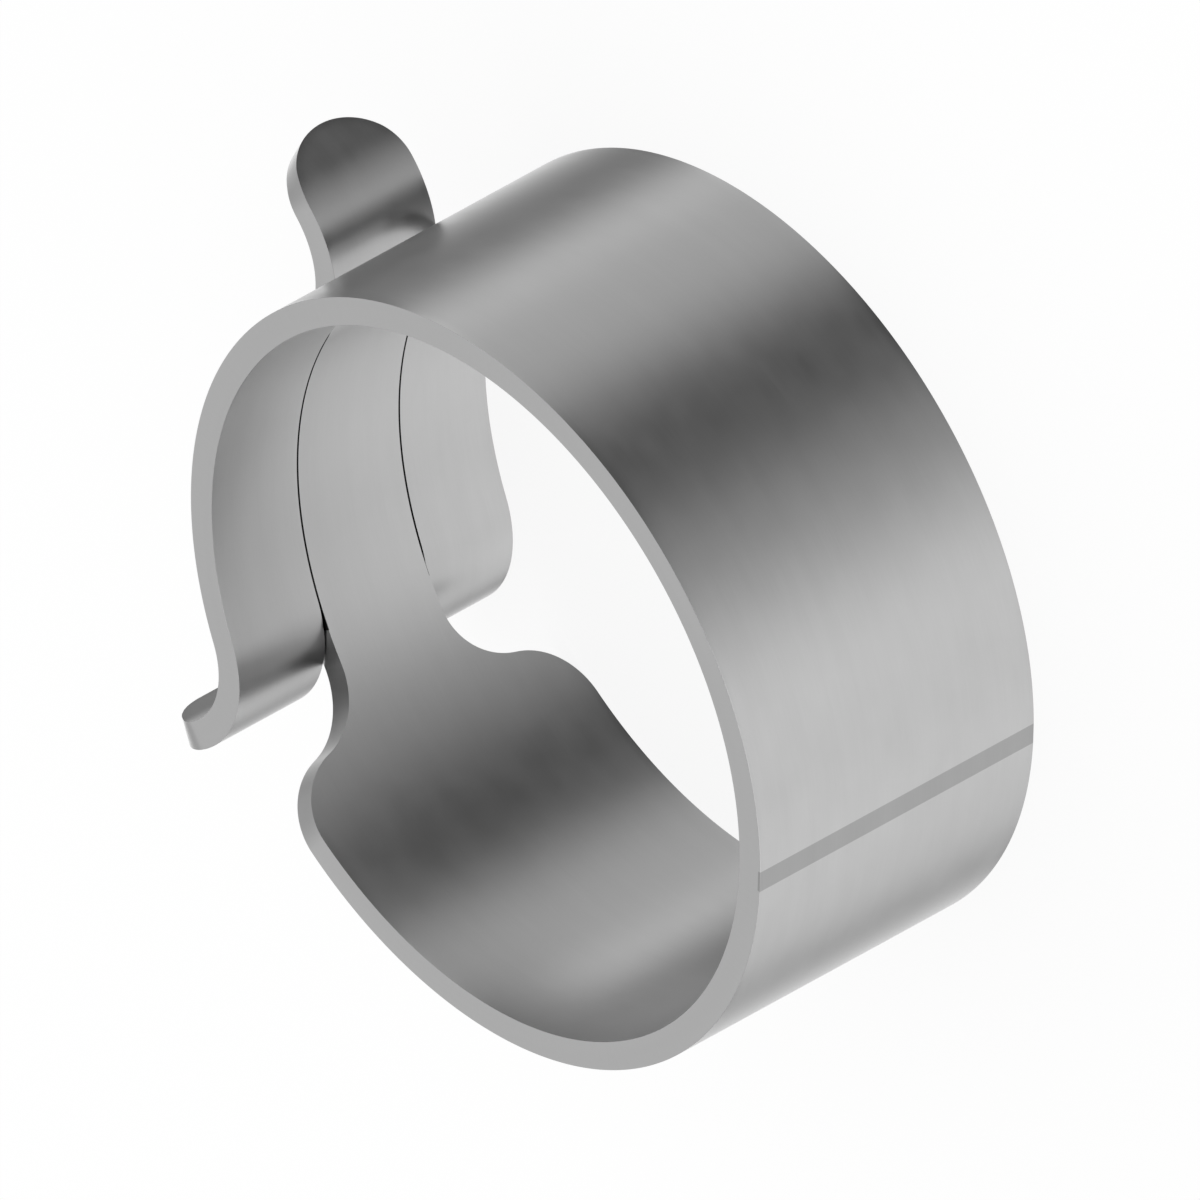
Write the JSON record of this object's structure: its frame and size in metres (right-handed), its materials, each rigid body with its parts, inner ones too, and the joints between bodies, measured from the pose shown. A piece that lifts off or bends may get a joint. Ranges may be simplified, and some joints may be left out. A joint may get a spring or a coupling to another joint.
{
  "type": "single band hose clamp",
  "caption": "Spring hose clamp rolled from one flat steel strip, with a squeeze tab on a tongue that slides between the lipped prongs of a fork.",
  "frame": {"origin": "on the axis of the bore, in the plane of the strip edge that the ring stands on", "axes": "+Z along the axis of the bore, upwards; +X from the axis to midway between the tab and the lips, with the lips on the +Y side and the tab on the -Y side"},
  "size_m": [0.0286, 0.0274, 0.012],
  "materials": {
    "spring_steel": "satin rolled spring steel, with a fine grain along the strip"
  },
  "bodies": {
    "root": {"clamp_band": "spring_steel"}
  },
  "joints": []
}
